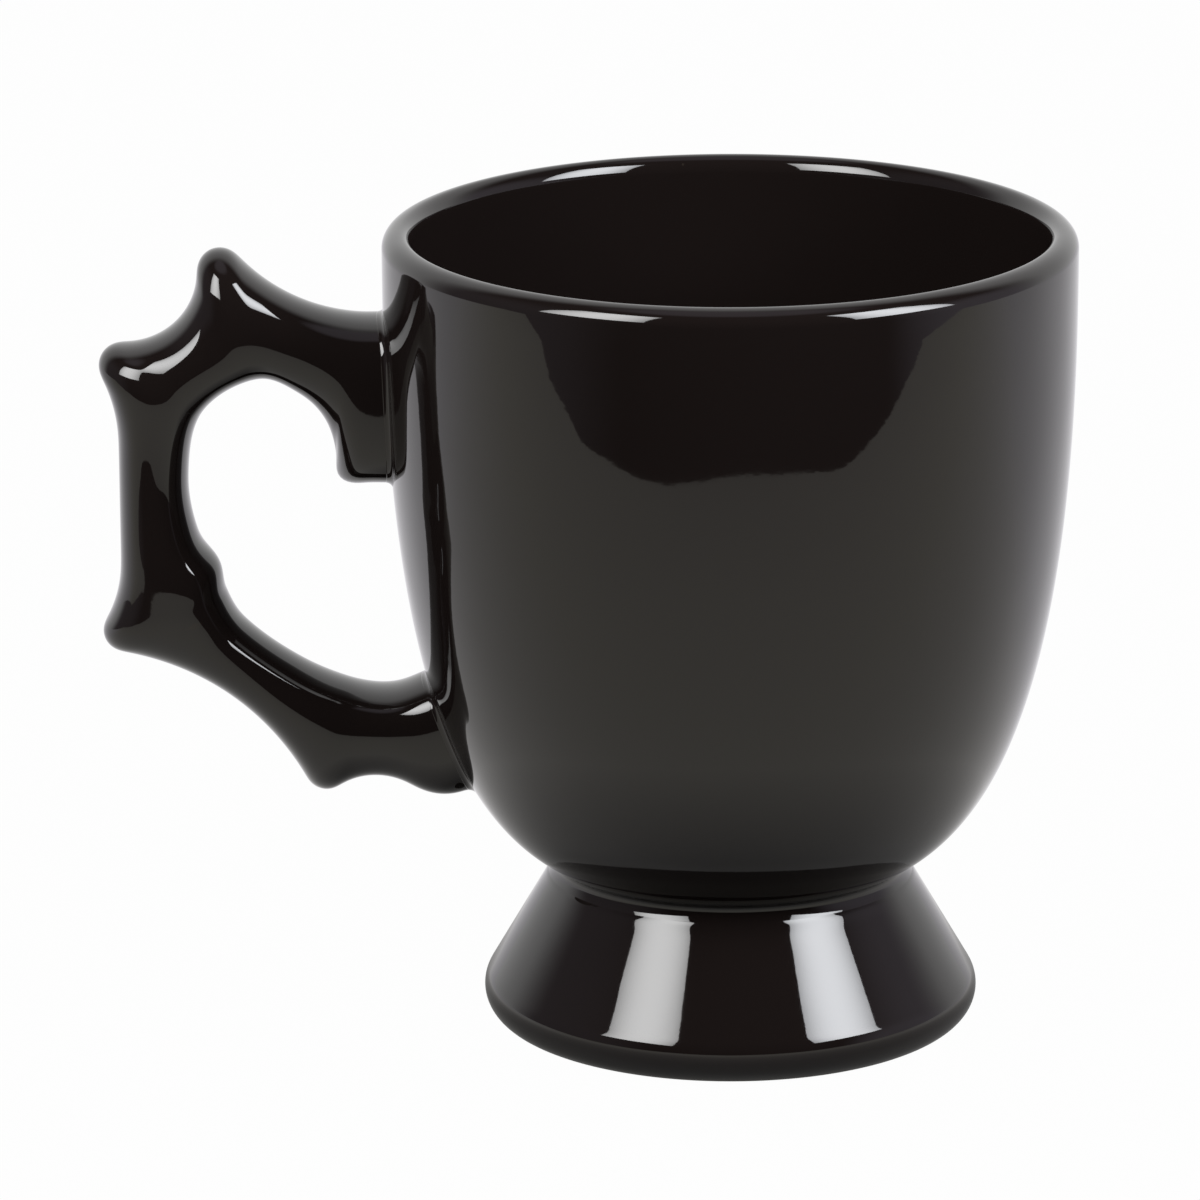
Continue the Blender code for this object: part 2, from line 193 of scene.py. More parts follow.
class MugSizes(bpy.types.PropertyGroup):
    """Sizes of the mug's pieces."""

    rim_radius: FloatProperty(
        name="Rim Radius", description="Outside radius of the bowl at the lip", default=RIM_RADIUS, unit="LENGTH"
    )
    bowl_depth: FloatProperty(
        name="Bowl Depth", description="From the lip's edge to the bowl's bottom", default=BOWL_DEPTH, unit="LENGTH"
    )
    side_power: FloatProperty(name="Side Fullness", description="How long the sides stay upright", default=2.44)
    floor_power: FloatProperty(name="Floor Fullness", description="How flat the bottom is", default=3.83)
    wall: FloatProperty(name="Wall", description="Thickness of the bowl's side", default=0.0043, unit="LENGTH")
    floor: FloatProperty(name="Floor", description="Thickness of the bowl's bottom", default=0.0060, unit="LENGTH")
    lip_rise: FloatProperty(
        name="Lip Rise", description="Height of the rounded lip", default=LIP_RISE, unit="LENGTH"
    )
    lip_roll: FloatProperty(
        name="Lip Roll", description="Width of the lip outside its crest", default=0.0025, unit="LENGTH"
    )
    lip_ease: FloatProperty(
        name="Lip Ease", description="Height of the lip's rounding inside its crest", default=0.0024, unit="LENGTH"
    )
    rest_radius: FloatProperty(
        name="Rest Radius", description="Outer radius of the foot's resting ring", default=0.0307, unit="LENGTH"
    )
    rest_width: FloatProperty(
        name="Rest Width", description="Width of the foot's resting ring", default=0.0035, unit="LENGTH"
    )
    foot_roll: FloatProperty(
        name="Foot Roll", description="Radius of the foot's rolled edge", default=0.0044, unit="LENGTH"
    )
    skirt_lean: FloatProperty(
        name="Skirt Lean", description="Lean of the foot's side", default=math.radians(30.2), subtype="ANGLE"
    )
    skirt_wall: FloatProperty(
        name="Skirt Wall", description="Thickness of the foot's side", default=0.0045, unit="LENGTH"
    )
    shoulder_round: FloatProperty(
        name="Shoulder Round", description="Radius of the foot's top edge", default=0.0010, unit="LENGTH"
    )
    collar: FloatProperty(
        name="Collar", description="Swelling of the foot's side under its top edge", default=0.00006, unit="LENGTH"
    )
    slip: FloatProperty(
        name="Slip Layer", description="Slip between foot and bowl, with its seats", default=0.0012, unit="LENGTH"
    )
    bead: FloatProperty(
        name="Slip Bead", description="Width of the fillet of slip and glaze in a crease", default=0.0011, unit="LENGTH"
    )
    waist_fillet: FloatProperty(
        name="Waist Fillet", description="Run of the waist's fillet down the foot's side", default=0.0030, unit="LENGTH"
    )
    handle_thickness: FloatProperty(
        name="Handle Thickness", description="Greatest thickness of the handle", default=0.0186, unit="LENGTH"
    )
    plumpness: FloatProperty(name="Plumpness", description="How far the handle swells out", default=1.55)
    flatness: FloatProperty(name="Flatness", description="How evenly its wide parts are levelled", default=4.0)
    steps_round: IntProperty(name="Steps Round", description="Steps round a turned piece", default=224, min=8)


class MugFinish(bpy.types.PropertyGroup):
    """Colours and gloss of the glaze and the bare clay."""

    glaze: FloatVectorProperty(
        name="Glaze", description="Fired glaze where it lies thick", default=linear("#110d0c"), subtype="COLOR"
    )
    thin_glaze: FloatVectorProperty(
        name="Thin Glaze", description="Glaze where it runs thin on edges", default=linear("#17110d"), subtype="COLOR"
    )
    speck: FloatVectorProperty(
        name="Speck", description="Fine dust and pinholes in the glaze", default=linear("#1e1a16"), subtype="COLOR"
    )
    clay: FloatVectorProperty(
        name="Clay", description="Bare fired clay on the resting ring", default=linear("#b9ab98"), subtype="COLOR"
    )
    gloss: FloatProperty(name="Roughness", description="Roughness of the glaze", default=0.03, min=0.0, max=1.0)


class MugStudio(bpy.types.PropertyGroup):
    """Camera, sheet and lamps."""

    distance: FloatProperty(name="Distance", description="From camera to mug", default=1.2, unit="LENGTH")
    elevation: FloatProperty(
        name="Elevation", description="Camera's height over the table", default=math.radians(15.88), subtype="ANGLE"
    )
    roll: FloatProperty(name="Roll", description="Turn of the picture", default=math.radians(-0.27), subtype="ANGLE")
    lens: FloatProperty(name="Lens", description="Focal length in millimetres", default=254.7)
    aim: FloatVectorProperty(
        name="Aim", description="Point at the picture's middle", default=(AXIS_X - 0.0184, 0.0, 0.0611), subtype="XYZ"
    )
    sheet_front: FloatProperty(
        name="Sheet Front", description="From the mug's axis to the sheet's front edge", default=0.311, unit="LENGTH"
    )
    left_power: FloatProperty(name="Left Power", description="Power of the left softbox in watts", default=12.1)
    right_power: FloatProperty(name="Right Power", description="Power of the right softbox in watts", default=15.4)


def add_node(tree, kind, inputs=None, **settings):
    """Adds a node with its settings, and sets or links its inputs."""
    node = tree.nodes.new(kind)
    for name, value in settings.items():
        setattr(node, name, value)
    for socket, value in (inputs or {}).items():
        if isinstance(value, bpy.types.NodeSocket):
            tree.links.new(value, node.inputs[socket])
        else:
            node.inputs[socket].default_value = value
    return node


def shader_tree(name):
    """A new material's emptied node tree."""
    material = bpy.data.materials.new(name)
    material.use_nodes = True
    material.node_tree.nodes.clear()
    return material, material.node_tree


def black_glaze(name, finish, ring_height=0.0):
    """Black gloss glaze on stoneware, dipped and fired.

    The eye sees a glassy black skin with soft waves, a brown tint where it runs thin and a few fine specks.
    """
    material, tree = shader_tree(name)
    place = add_node(tree, "ShaderNodeTexCoord").outputs["Object"]
    # Slow waves where the glaze flowed, and a faint peel
    waves = add_node(tree, "ShaderNodeTexNoise", {"Vector": place, "Scale": 1 / FLOW_SPACING, "Detail": 1.0})
    peel = add_node(tree, "ShaderNodeTexNoise", {"Vector": place, "Scale": 1 / PEEL_SPACING, "Detail": 2.0})
    # Specks under 0.4 mm across, drawn a little larger than dust so that they show
    cells = add_node(tree, "ShaderNodeTexVoronoi", {"Vector": place, "Scale": 1 / SPECK_CELL})
    near = add_node(
        tree, "ShaderNodeMapRange",
        {"Value": cells.outputs["Distance"], "From Min": SPECK_FULL, "From Max": SPECK_FADED, "To Min": 1.0,
         "To Max": 0.0}
    )
    chosen = add_node(tree, "ShaderNodeSeparateColor", {"Color": cells.outputs["Color"]})
    few = add_node(tree, "ShaderNodeMath", {0: chosen.outputs[0], 1: SPECK_CLEAN}, operation="GREATER_THAN")
    specks = add_node(tree, "ShaderNodeMath", {0: near.outputs[0], 1: few.outputs[0]}, operation="MULTIPLY")
    # Glaze draws back from sharp edges and lets the brown through
    edge = add_node(tree, "ShaderNodeNewGeometry").outputs["Pointiness"]
    thin = add_node(
        tree, "ShaderNodeMapRange", {"Value": edge, "From Min": THIN_FROM, "From Max": THIN_TO, "To Max": THIN_MOST}
    )
    tint = add_node(
        tree, "ShaderNodeMix", {0: thin.outputs[0], 6: (*finish.glaze, 1.0), 7: (*finish.thin_glaze, 1.0)},
        data_type="RGBA"
    )
    dusted = add_node(
        tree, "ShaderNodeMix", {0: specks.outputs[0], 6: tint.outputs[2], 7: (*finish.speck, 1.0)}, data_type="RGBA"
    )
    colour = dusted.outputs[2]
    rough = add_node(
        tree, "ShaderNodeMapRange",
        {"Value": waves.outputs[0], "From Min": 0.35, "From Max": 0.65,
         "To Min": finish.gloss * 0.8, "To Max": finish.gloss * 1.4}
    ).outputs[0]
    if ring_height:
        # Bare clay up to a ragged line
        height = add_node(tree, "ShaderNodeSeparateXYZ", {0: place}).outputs["Z"]
        ragged = add_node(
            tree, "ShaderNodeMath", {0: peel.outputs[0], 1: ring_height, 2: height}, operation="MULTIPLY_ADD"
        )
        bare = add_node(
            tree, "ShaderNodeMapRange",
            {"Value": ragged.outputs[0], "From Min": ring_height, "From Max": ring_height * 1.3,
             "To Min": 1.0, "To Max": 0.0}
        ).outputs[0]
        colour = add_node(
            tree, "ShaderNodeMix", {0: bare, 6: colour, 7: (*finish.clay, 1.0)}, data_type="RGBA"
        ).outputs[2]
        rough = add_node(tree, "ShaderNodeMix", {0: bare, 2: rough, 3: CLAY_ROUGHNESS}).outputs[0]
    flow = add_node(tree, "ShaderNodeBump", {"Height": waves.outputs[0], "Strength": 1.0, "Distance": FLOW_DEPTH})
    skin = add_node(
        tree, "ShaderNodeBump",
        {"Height": peel.outputs[0], "Strength": 1.0, "Distance": PEEL_DEPTH, "Normal": flow.outputs[0]}
    )
    shader = add_node(
        tree, "ShaderNodeBsdfPrincipled",
        {"Base Color": colour, "Roughness": rough, "IOR": GLAZE_IOR, "Normal": skin.outputs[0]}
    )
    add_node(tree, "ShaderNodeOutputMaterial", {"Surface": shader.outputs[0]})
    return material


def turning_tree():
    """Node tree that turns a profile round an upright axis, as on a potter's wheel."""
    tree = bpy.data.node_groups.new("Turned on the wheel", "GeometryNodeTree")
    sockets = {}
    for name, kind in (("Profile", "Geometry"), ("Steps Round", "Int"), ("Axis", "Vector"), ("Glaze", "Material")):
        sockets[name] = tree.interface.new_socket(name, in_out="INPUT", socket_type="NodeSocket" + kind).identifier
    tree.interface.new_socket("Turned", in_out="OUTPUT", socket_type="NodeSocketGeometry")
    given = add_node(tree, "NodeGroupInput").outputs
    count = add_node(tree, "GeometryNodeAttributeDomainSize", {"Geometry": given["Profile"]}, component="MESH")
    points = count.outputs["Point Count"]
    round_points = add_node(tree, "ShaderNodeMath", {0: given["Steps Round"], 1: 1.0}, operation="ADD")
    sheet = add_node(
        tree, "GeometryNodeMeshGrid",
        {"Size X": 1.0, "Size Y": 1.0, "Vertices X": round_points.outputs[0], "Vertices Y": points}
    )
    place = add_node(tree, "GeometryNodeInputPosition").outputs[0]
    sides = add_node(tree, "ShaderNodeSeparateXYZ", {0: place}).outputs
    angle = add_node(tree, "ShaderNodeMath", {0: sides["X"], 1: math.tau}, operation="MULTIPLY")
    last = add_node(tree, "ShaderNodeMath", {0: points, 1: 1.0}, operation="SUBTRACT")
    share = add_node(tree, "ShaderNodeMath", {0: sides["Y"], 1: 0.5}, operation="ADD")
    along = add_node(tree, "ShaderNodeMath", {0: share.outputs[0], 1: last.outputs[0]}, operation="MULTIPLY")
    index = add_node(tree, "FunctionNodeFloatToInt", {0: along.outputs[0]}, rounding_mode="ROUND")
    drawn = add_node(
        tree, "GeometryNodeSampleIndex", {"Geometry": given["Profile"], "Index": index.outputs[0]},
        data_type="FLOAT_VECTOR", domain="POINT"
    )
    tree.links.new(place, drawn.inputs["Value"])
    turned = add_node(
        tree, "ShaderNodeVectorRotate", {"Vector": drawn.outputs["Value"], "Angle": angle.outputs[0]},
        rotation_type="Z_AXIS"
    )
    placed = add_node(
        tree, "GeometryNodeSetPosition",
        {"Geometry": sheet.outputs["Mesh"], "Position": turned.outputs[0], "Offset": given["Axis"]}
    )
    merged = add_node(tree, "GeometryNodeMergeByDistance", {"Geometry": placed.outputs[0], "Distance": TURNED_WELD})
    smooth = add_node(tree, "GeometryNodeSetShadeSmooth", {"Geometry": merged.outputs[0]})
    real = add_node(tree, "GeometryNodeRealizeInstances", {"Geometry": smooth.outputs[0]})
    glazed = add_node(tree, "GeometryNodeSetMaterial", {"Geometry": real.outputs[0], "Material": given["Glaze"]})
    add_node(tree, "NodeGroupOutput", {0: glazed.outputs[0]})
    return tree, sockets


def turned_piece(name, profile, sizes, material):
    """A piece turned from (radius, height) points, as a plain mesh."""
    tree, sockets = turning_tree()
    mesh = bpy.data.meshes.new(name)
    mesh.from_pydata([(r, 0.0, z) for r, z in profile], [], [])
    piece = bpy.data.objects.new(name, mesh)
    modifier = piece.modifiers.new("Turned", "NODES")
    modifier.node_group = tree
    modifier[sockets["Steps Round"]] = sizes.steps_round
    modifier[sockets["Axis"]] = (AXIS_X, 0.0, 0.0)
    modifier[sockets["Glaze"]] = material
    bpy.context.scene.collection.objects.link(piece)
    settle(piece)
    return piece


def settle(piece):
    """Turns a piece's live modifiers into a plain mesh with its faces outward."""
    seen = piece.evaluated_get(bpy.context.evaluated_depsgraph_get())
    mesh = bpy.data.meshes.new_from_object(seen)
    piece.modifiers.clear()
    piece.data = mesh
    bm = bmesh.new()
    bm.from_mesh(mesh)
    bmesh.ops.recalc_face_normals(bm, faces=bm.faces)
    bm.to_mesh(mesh)
    bm.free()
    mesh.shade_smooth()


def carry(piece, node):
    """Puts a finished piece in the place of its CAD node."""
    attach(piece, BODY)
    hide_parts(node)


def lip_height(sizes):
    """Height above the table at which the lip starts."""
    return BOWL_HIGH[2] - sizes.lip_rise


def bowl_radius(sizes, height):
    """Outside radius of the bowl at a height above the table."""
    down = np.clip((lip_height(sizes) - height) / sizes.bowl_depth, 0.0, 1.0)
    return sizes.rim_radius * (1 - down**sizes.side_power) ** (1 / sizes.floor_power)


def bowl_height(sizes, radius):
    """Height of the bowl's outside at a radius."""
    level = (1 - (radius / sizes.rim_radius) ** sizes.floor_power) ** (1 / sizes.side_power)
    return lip_height(sizes) - sizes.bowl_depth * level


def bowl_side(sizes, radius, depth):
    """(radius, height) points up one side of the bowl's wall, from its middle to the lip."""
    turn = np.linspace(0, math.pi / 2, BOWL_POINTS + 1)
    out = radius * np.sin(turn) ** (2 / sizes.floor_power)
    up = lip_height(sizes) - depth * np.abs(np.cos(turn)) ** (2 / sizes.side_power)
    return list(zip(out, up))


def bowl_profile(sizes):
    """Up the inside, over the lip and down the outside."""
    inside = bowl_side(sizes, sizes.rim_radius - sizes.wall, sizes.bowl_depth - sizes.floor)
    outside = bowl_side(sizes, sizes.rim_radius, sizes.bowl_depth)
    crest, thin, top = sizes.rim_radius - sizes.lip_roll, sizes.wall - sizes.lip_roll, BOWL_HIGH[2]
    turn = np.linspace(0, math.pi / 2, LIP_POINTS, endpoint=False)
    eased = list(zip(crest - thin * np.cos(turn), top - sizes.lip_ease * (1 - np.sin(turn))))
    rolled = list(zip(crest + sizes.lip_roll * np.sin(turn), top - sizes.lip_rise * (1 - np.cos(turn))))
    return inside + eased + rolled + outside[::-1]


def skirt_height(sizes, radius, inset=0.0):
    """Height of the foot's side at a radius, on its outside or inset into its wall."""
    lean, roll = sizes.skirt_lean, sizes.foot_roll
    start = sizes.rest_radius + roll * math.cos(lean) - inset / math.cos(lean)
    return roll * (1 + math.sin(lean)) + (start - radius) / math.tan(lean)


def seat_height(sizes, radius):
    """Height of the foot's top face, which lies along the underside of the bowl."""
    return bowl_height(sizes, radius) - sizes.slip


def meeting_radius(sizes, inset, drop):
    """Radius where the foot's side, or a line inset in its wall, comes up to a drop under the bowl."""
    low, high = 0.0, sizes.rim_radius
    for _ in range(50):
        radius = (low + high) / 2
        if skirt_height(sizes, radius, inset) > bowl_height(sizes, radius) - drop:
            low = radius
        else:
            high = radius
    return low


def seat_edge(sizes, inset):
    """Radius where the foot's side meets the seat."""
    return meeting_radius(sizes, inset, sizes.slip)


def foot_shoulder(sizes):
    """Points round the foot's top edge, from the seat to the skirt's side."""
    outer, rounding = seat_edge(sizes, 0.0), sizes.shoulder_round
    corner = np.array([outer, seat_height(sizes, outer)])
    inward, outward = outer - rounding, outer + rounding
    ways = [(inward, seat_height(sizes, inward)) - corner, (outward, skirt_height(sizes, outward)) - corner]
    seat_way, side_way = (way / np.linalg.norm(way) for way in ways)
    half_angle = math.acos(seat_way @ side_way) / 2
    bisector = (seat_way + side_way) / np.linalg.norm(seat_way + side_way)
    centre = corner + bisector * rounding / math.sin(half_angle)
    cut_back = rounding / math.tan(half_angle)
    return arc(centre, rounding, corner + seat_way * cut_back, corner + side_way * cut_back, -1)


def foot_profile(sizes):
    """Along the seat, down the outside, under the roll and up the hollow."""
    shoulder = foot_shoulder(sizes)
    radii = np.linspace(seat_edge(sizes, sizes.skirt_wall), shoulder[0][0], SEAT_POINTS, endpoint=False)
    seat = [(r, seat_height(sizes, r)) for r in radii]
    lean, roll = sizes.skirt_lean, sizes.foot_roll
    bearings = np.linspace(lean, -math.pi / 2, ROLL_POINTS + 1)
    edge = [(sizes.rest_radius + roll * math.cos(a), roll * (1 + math.sin(a))) for a in bearings]
    side = collared_side(sizes, shoulder[-1], np.array(edge[0]))
    hollow = sizes.rest_radius - sizes.rest_width
    turn = np.linspace(-math.pi / 2, -math.pi, ROLL_POINTS // 4)
    small = sizes.rest_width / 4
    inner = [(hollow + small + small * math.cos(a), small + small * math.sin(a)) for a in turn]
    up = [(hollow, skirt_height(sizes, hollow, sizes.skirt_wall))]
    return seat + list(shoulder) + side + edge + inner + up + seat[:1]


def collared_side(sizes, top, low):
    """Points down the foot's side between two places, with a faint collar at the top."""
    share = np.linspace(0, 1, SIDE_POINTS + 1)[1:-1]
    run = share * np.linalg.norm(low - top)
    collar = np.exp(-(((run - COLLAR_DROP) / COLLAR_SPREAD) ** 2))
    way = np.array([math.cos(sizes.skirt_lean), math.sin(sizes.skirt_lean)])
    return list(top + share[:, None] * (low - top) + (sizes.collar * collar)[:, None] * way)


def waist_profile(sizes):
    """The ring of slip between bowl and foot, with a hollow fillet round the waist."""
    inner, shelf = seat_edge(sizes, sizes.skirt_wall), foot_shoulder(sizes)[0][0]
    crease = meeting_radius(sizes, 0.0, 0.0)
    high, low = crease + sizes.waist_fillet / 3, crease + sizes.waist_fillet * math.sin(sizes.skirt_lean)
    top = [(r, bowl_height(sizes, r) + EMBED) for r in np.linspace(inner, high, SEAT_POINTS)]
    ends = ((high, bowl_height(sizes, high)), (crease, bowl_height(sizes, crease)), (low, skirt_height(sizes, low)))
    bead = curve_between(*ends)
    bottom = [(r, seat_height(sizes, r) - EMBED) for r in np.linspace(shelf, inner, SEAT_POINTS)]
    ring = top + bead + bottom
    return ring + ring[:1]


def curve_between(start, bend, end):
    """Points on a hollow curve from start to end that leaves and arrives along the way to bend."""
    t = np.linspace(0, 1, BEAD_POINTS)[:, None]
    start, bend, end = (np.asarray(p) for p in (start, bend, end))
    return list((1 - t) ** 2 * start + 2 * t * (1 - t) * bend + t**2 * end)


def on_plane(out, up, sizes):
    """Place in the handle's plane, from a drawn distance off the rim's side and height over the lower root."""
    low = BOWL_LOW[2] + ROOT_RISE
    stretch = (BOWL_HIGH[2] - ROOT_DROP - low) / HANDLE_DRAWN
    return np.array([-sizes.rim_radius - out, low + up * stretch])


def arc(centre, radius, start, end, turn):
    """Points on a circle from the bearing of one point to that of another. A turn of 1 is anticlockwise."""
    first = math.atan2(*(start - centre)[::-1])
    last = math.atan2(*(end - centre)[::-1])
    sweep = turn * ((turn * (last - first)) % math.tau)
    bearings = first + sweep * np.linspace(0, 1, ARC_POINTS)
    return centre + radius * np.stack([np.cos(bearings), np.sin(bearings)], axis=1)


def scallop_centre(tip, next_tip, radius):
    """Centre of the hollow arc that touches two tips from outside the handle."""
    (near, near_radius), (far, far_radius) = tip, next_tip
    reach, far_reach = radius + near_radius, radius + far_radius
    line = far - near
    length = np.linalg.norm(line)
    along = (reach**2 - far_reach**2 + length**2) / (2 * length)
    off = math.sqrt(reach**2 - along**2)
    ahead = line / length
    return near + along * ahead + off * np.array([ahead[1], -ahead[0]])


def back_centre(tip, radius, side, sizes):
    """Centre of the arc that leads from a tip into the straight back of the grip. side is 1 above the tip."""
    centre, tip_radius = tip
    x = on_plane(GRIP_BACK, 0.0, sizes)[0] - radius
    rise = math.sqrt((radius + tip_radius) ** 2 - (x - centre[0]) ** 2)
    return np.array([x, centre[1] + side * rise])


def root_place(height, sizes):
    """Place in the handle's plane where an outline ends on the bowl's wall."""
    return np.array([-bowl_radius(sizes, height), height])


def outer_outline(sizes):
    """The scalloped outside of the handle, from the upper root to the lower, in stretches from tip to tip."""
    spikes = (CROWN_SPIKE, BROW_SPIKE, HEEL_SPIKE, KEEL_SPIKE)
    tips = [(on_plane(out, up, sizes), radius) for out, up, radius in spikes]
    crown, brow, heel, keel = tips
    swell_out, swell_up, swell_radius = ROOT_SWELL
    swell = on_plane(0.0, swell_up, sizes)
    swell[0] = -bowl_radius(sizes, swell[1]) - swell_out
    upper_end = root_place(on_plane(0.0, HANDLE_DRAWN, sizes)[1], sizes)
    root = upper_end - np.array([UPPER_ROOT_OUT + sizes.slip, 0.0])
    span = crown[0] - root
    shoulder = (span @ span - crown[1] ** 2) / (2 * (span[1] + crown[1]))
    neck = root + np.array([0.0, shoulder])
    dip = scallop_centre(crown, brow, CROWN_SCALLOP)
    back_top = back_centre(brow, BROW_SCALLOP, -1, sizes)
    back_low = back_centre(heel, HEEL_SCALLOP, 1, sizes)
    belly = scallop_centre(heel, keel, BELLY_SCALLOP)
    under = scallop_centre(keel, (swell, swell_radius), KEEL_SCALLOP)
    bottom = swell + np.array([math.sin(ROOT_TURN), -math.cos(ROOT_TURN)])
    across = np.array([1.0, 0.0])
    crown_arc = arc(*crown, neck, dip, 1)
    brow_arc = arc(*brow, dip, back_top, 1)
    heel_arc = arc(*heel, back_low, belly, 1)
    keel_arc = arc(*keel, belly, under, 1)
    half = ARC_POINTS // 2
    swell_arc = arc(swell, swell_radius, under, bottom, 1)
    lower_end = root_place(swell_arc[-1][1], sizes)
    return [
        [[upper_end], arc(neck, shoulder, root, crown[0], -1), crown_arc[:half]],
        [crown_arc[half - 1 :], arc(dip, CROWN_SCALLOP, crown[0], brow[0], -1), brow_arc[:half]],
        [
            brow_arc[half - 1 :],
            arc(back_top, BROW_SCALLOP, brow[0], back_top + across, -1),
            arc(back_low, HEEL_SCALLOP, back_low + across, heel[0], -1),
            heel_arc[:half],
        ],
        [heel_arc[half - 1 :], arc(belly, BELLY_SCALLOP, heel[0], keel[0], -1), keel_arc[:half]],
        [keel_arc[half - 1 :], arc(under, KEEL_SCALLOP, keel[0], swell, -1), swell_arc, [lower_end]],
    ]


def inner_outline(sizes):
    """The edge of the finger hole, from the upper root to the lower, in stretches that face the outer ones."""
    stretches = [THUMB_HOOK, [ARCH_TOP], [ARCH_BACK], GRIP_FRONT, [KNUCKLE], FINGER_REST, [REST_LOW], REST_END]
    knots = [on_plane(*point, sizes) for stretch in stretches for point in stretch]
    for height, place in ((UPPER_ROOT_LOW, 0), (LOWER_ROOT_HIGH, len(knots) + 1)):
        knots.insert(place, root_place(on_plane(0.0, height, sizes)[1], sizes))
    cuts = [0]
    for facing in (ARCH_TOP, ARCH_BACK, KNUCKLE, REST_LOW):
        cuts.append(next(i for i, knot in enumerate(knots) if np.allclose(knot, on_plane(*facing, sizes))))
    cuts.append(len(knots) - 1)
    spans = [smooth_span(knots, i) for i in range(len(knots) - 1)]
    return [spans[start:end] for start, end in zip(cuts, cuts[1:])]


def smooth_span(knots, i):
    """Points from one knot to the next on a smooth curve through all of them."""
    before, start, end, after = (knots[k] for k in (max(i - 1, 0), i, i + 1, min(i + 2, len(knots) - 1)))
    length = np.linalg.norm(end - start)
    lead = (end - before) / np.linalg.norm(end - before) * length / 3
    trail = (after - start) / np.linalg.norm(after - start) * length / 3
    handles = (start, start + lead, end - trail, end)
    return np.array([p[:] for p in geometry.interpolate_bezier(*map(Vector, handles), ARC_POINTS)])


def spaced_points(pieces, count, lag):
    """Points along joined pieces of an outline. A lag over 1 keeps them back near its start."""
    line = np.concatenate(pieces)
    run = np.concatenate([[0.0], np.cumsum(np.linalg.norm(np.diff(line, axis=0), axis=1))])
    share = np.linspace(0, 1, count + 1)
    share -= TIP_CROWDING * np.sin(math.tau * share) / math.tau
    steps = run[-1] * share * (1 + (lag - 1) * share) / lag
    return np.stack([np.interp(steps, run, line[:, axis]) for axis in (0, 1)], axis=1)


def joined_spans(stretches, first_lag):
    """Points along a whole outline, with the same count in each stretch as on the facing outline."""
    lags = [first_lag] + [1.0] * (len(stretches) - 1)
    rows = [spaced_points(*stretch) for stretch in zip(stretches, SPAN_ROWS, lags)]
    return np.concatenate([rows[0]] + [row[1:] for row in rows[1:]])


def handle_grid(sizes):
    """Places over the handle's outline: rows from root to root, columns from the hole to the outside."""
    inner = joined_spans(inner_outline(sizes), 1.0)
    outer = joined_spans(outer_outline(sizes), HOOK_LAG)
    across = (1 - np.cos(np.linspace(0, math.pi, ACROSS + 1))) / 2
    return inner[:, None] + (outer - inner)[:, None] * across[None, :, None]


def blown_film(grid):
    """Height of a film blown up over the grid, held down along both outlines and free at the roots."""
    rows, columns = grid.shape[:2]
    index = np.arange(rows * columns).reshape(rows, columns)
    a, b, c, d = index[:-1, :-1], index[:-1, 1:], index[1:, 1:], index[1:, :-1]
    halves = ((a, b, c), (a, c, d), (b, c, d), (a, b, d))
    faces = np.concatenate([np.stack(corners, axis=-1).reshape(-1, 3) for corners in halves])
    corners = grid.reshape(-1, 2)[faces]
    edges = np.roll(corners, -2, axis=1) - np.roll(corners, -1, axis=1)
    area = np.abs(edges[:, 0, 0] * edges[:, 1, 1] - edges[:, 0, 1] * edges[:, 1, 0]) / 2
    stiffness = np.zeros((index.size, index.size))
    pull = np.einsum("fia,fja->fij", edges, edges) / (4 * area)[:, None, None]
    np.add.at(stiffness, (faces[:, :, None], faces[:, None, :]), pull)
    ties = np.maximum(-stiffness, 0.0)
    stiffness = np.diag(ties.sum(axis=1)) - ties
    load = np.zeros(index.size)
    np.add.at(load, faces, (area / 3)[:, None])
    free = index[:, 1:-1].ravel()
    film = np.zeros(index.size)
    film[free] = np.linalg.solve(stiffness[np.ix_(free, free)], load[free])
    return film.reshape(rows, columns)


def half_thickness(grid, sizes):
    """Half the handle's thickness: round in section where it is narrow, and levelled off where it is wide."""
    swell = sizes.plumpness * np.sqrt(2 * blown_film(grid))
    most = sizes.handle_thickness / 2
    return swell * most / (swell**sizes.flatness + most**sizes.flatness) ** (1 / sizes.flatness)


def on_wall(y, z, sizes, clearance):
    """Points at a clearance off the bowl's wall, on the handle's side."""
    return np.stack([-np.sqrt((bowl_radius(sizes, z) + clearance) ** 2 - y**2), y, z], axis=-1)


def handle_sides(sizes):
    """The handle's two sides as grids of points, with each end row on the bowl's wall."""
    grid = handle_grid(sizes)
    halves = half_thickness(grid, sizes)
    sides = []
    for facing in (-1, 1):
        side = np.stack([grid[..., 0], facing * halves, grid[..., 1]], axis=2)
        for row in (0, -1):
            side[row] = on_wall(side[row, :, 1], side[row, :, 2], sizes, 0.0)
        sides.append(side)
    return sides


def sheet_piece(name, sheets, material):
    """One closed piece from grids of points that meet along their edges, set beside the bowl's axis."""
    bm = bmesh.new()
    for points in sheets:
        rows = [[bm.verts.new((x + AXIS_X, y, z)) for x, y, z in row] for row in points]
        for row, below in zip(rows, rows[1:]):
            for i in range(len(row) - 1):
                bm.faces.new((row[i], row[i + 1], below[i + 1], below[i]))
    bmesh.ops.remove_doubles(bm, verts=bm.verts, dist=CAST_WELD)
    bmesh.ops.recalc_face_normals(bm, faces=bm.faces)
    mesh = bpy.data.meshes.new(name)
    bm.to_mesh(mesh)
    bm.free()
    mesh.materials.append(material)
    piece = bpy.data.objects.new(name, mesh)
    bpy.context.scene.collection.objects.link(piece)
    smooth = piece.modifiers.new("Smooth", "SUBSURF")
    smooth.levels = 1
    smooth.render_levels = 1
    settle(piece)
    return piece


